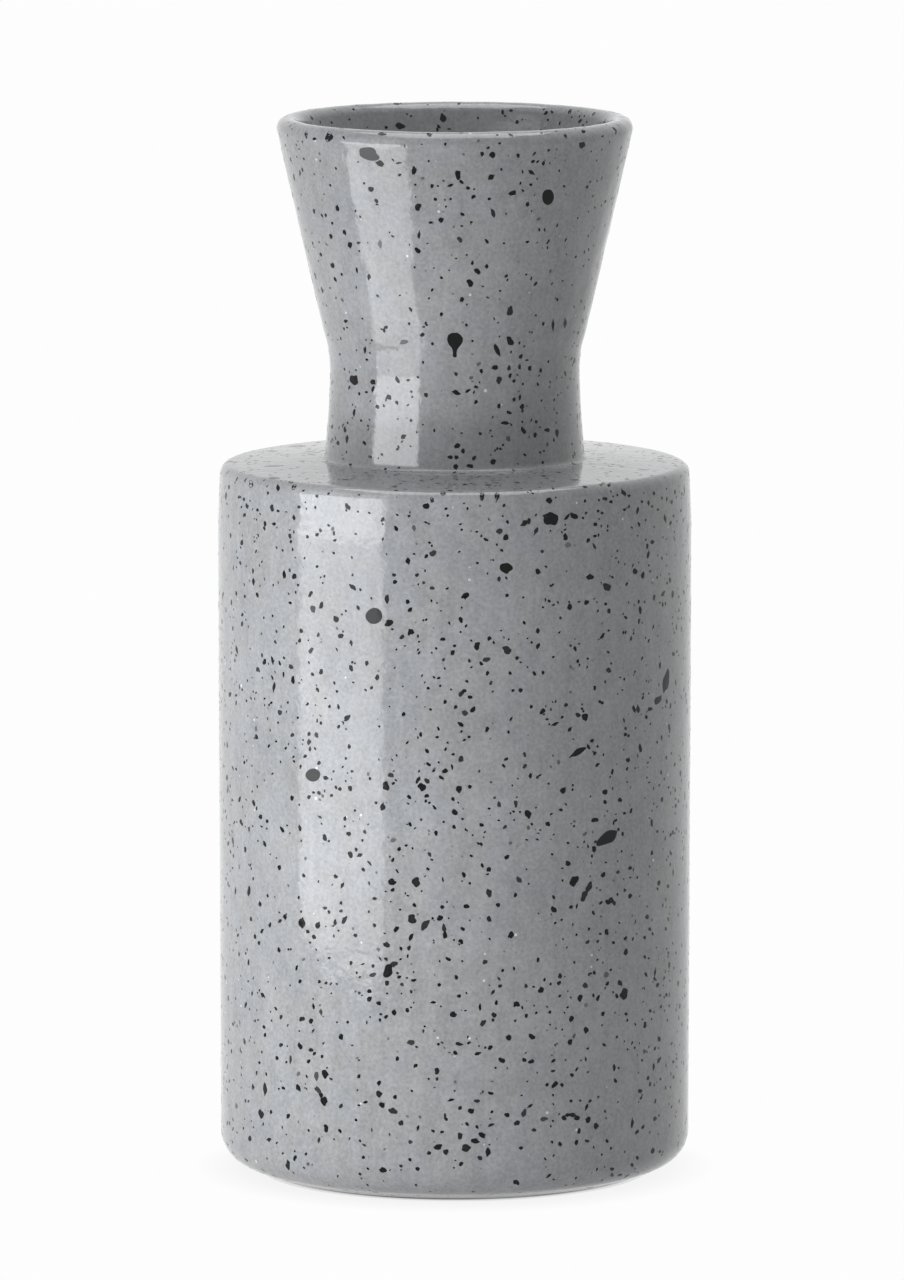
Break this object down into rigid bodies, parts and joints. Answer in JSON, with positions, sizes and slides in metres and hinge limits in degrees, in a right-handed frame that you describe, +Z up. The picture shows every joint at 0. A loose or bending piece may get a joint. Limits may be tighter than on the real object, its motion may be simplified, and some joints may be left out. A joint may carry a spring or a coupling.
{
  "type": "bottle vase",
  "caption": "Tall cylindrical stoneware bottle vase with a flat shoulder, a short neck, a flared round-lipped mouth and a speckled glaze.",
  "frame": {"origin": "centre of the foot ring, on the surface that the vase stands on", "axes": "+Z up along the vase's axis, +X to the viewer's right, +Y away from the viewer"},
  "size_m": [0.12, 0.12, 0.2685],
  "materials": {
    "stoneware": "bare fired stoneware clay, matt and slightly gritty",
    "outside_glaze": "glossy cloudy blue-grey glaze with near-black iron specks",
    "inside_glaze": "the same glossy speckled glaze, poured inside"
  },
  "bodies": {
    "root": {"base_slab": "stoneware", "body_wall": "stoneware", "shoulder_disc": "stoneware", "neck_collar": "stoneware", "flared_mouth": "stoneware", "outer_glaze": "outside_glaze", "inner_glaze": "inside_glaze"}
  },
  "joints": []
}
